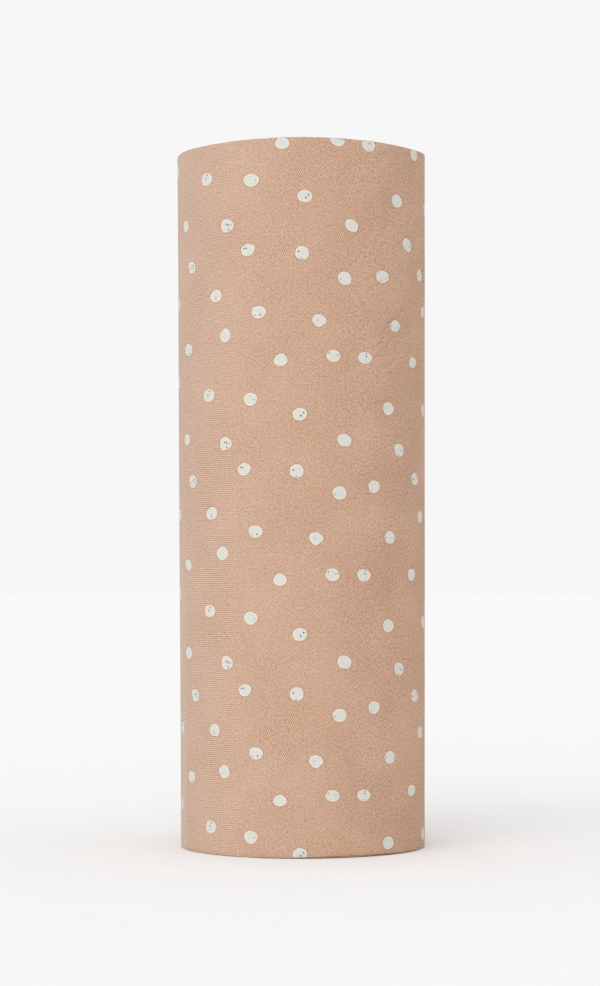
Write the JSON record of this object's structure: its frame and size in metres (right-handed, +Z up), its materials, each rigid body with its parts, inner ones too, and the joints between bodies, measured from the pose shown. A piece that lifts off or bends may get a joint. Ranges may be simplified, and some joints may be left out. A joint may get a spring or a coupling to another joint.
{
  "type": "gift wrap roll",
  "caption": "Upright roll of soft dotted cloth gift wrap, wound in a spiral on a tubular board core, with a free tail that peels off and tape tabs that hold it down.",
  "frame": {"origin": "on the core's axis, in the plane of the end that the roll stands on", "axes": "+Z up along the core's axis; -Y is the front, and the free edge is at the back, between -X and +Y"},
  "size_m": [0.1069, 0.1073, 0.3],
  "materials": {
    "cloth": "matte",
    "board": "matte",
    "kraft": "matte",
    "tape": "satin"
  },
  "bodies": {
    "roll": {"core_ply_liner": "kraft", "core_ply_board_1": "board", "core_ply_board_2": "board", "core_ply_board_3": "board", "core_ply_board_4": "board", "core_ply_facing": "kraft", "start_tape": "tape", "wound_cloth": "cloth", "outer_turn": "cloth"},
    "tail_1": {"tail_panel_1": "cloth"},
    "tail_2": {"tail_panel_2": "cloth"},
    "tail_3": {"tail_panel_3": "cloth"},
    "tail_4": {"tail_panel_4": "cloth"},
    "tail_5": {"tail_panel_5": "cloth"},
    "tail_6": {"tail_panel_6": "cloth", "tape_tab_bottom": "tape", "tape_tab_middle": "tape", "tape_tab_top": "tape"}
  },
  "joints": [
    {"name": "peel_1", "type": "hinge", "parent": "roll", "child": "tail_1", "pos_m": [0.03781, 0.03781, 0.15], "axis": [0, 0, -1], "range_deg": [0, 15]},
    {"name": "peel_2", "type": "hinge", "parent": "tail_1", "child": "tail_2", "pos_m": [0.02676, 0.04634, 0.15], "axis": [0, 0, -1], "range_deg": [0, 15]},
    {"name": "peel_3", "type": "hinge", "parent": "tail_2", "child": "tail_3", "pos_m": [0.01386, 0.05172, 0.15], "axis": [0, 0, -1], "range_deg": [0, 15]},
    {"name": "peel_4", "type": "hinge", "parent": "tail_3", "child": "tail_4", "pos_m": [0, 0.05359, 0.15], "axis": [0, 0, -1], "range_deg": [0, 15]},
    {"name": "peel_5", "type": "hinge", "parent": "tail_4", "child": "tail_5", "pos_m": [-0.01388, 0.0518, 0.15], "axis": [0, 0, -1], "range_deg": [0, 15]},
    {"name": "peel_6", "type": "hinge", "parent": "tail_5", "child": "tail_6", "pos_m": [-0.02683, 0.04647, 0.15], "axis": [0, 0, -1], "range_deg": [0, 15]}
  ],
  "couplings": [
    {"joint": "peel_2", "follows": "peel_1", "ratio": 1},
    {"joint": "peel_3", "follows": "peel_1", "ratio": 1},
    {"joint": "peel_4", "follows": "peel_1", "ratio": 1},
    {"joint": "peel_5", "follows": "peel_1", "ratio": 1},
    {"joint": "peel_6", "follows": "peel_1", "ratio": 1}
  ]
}
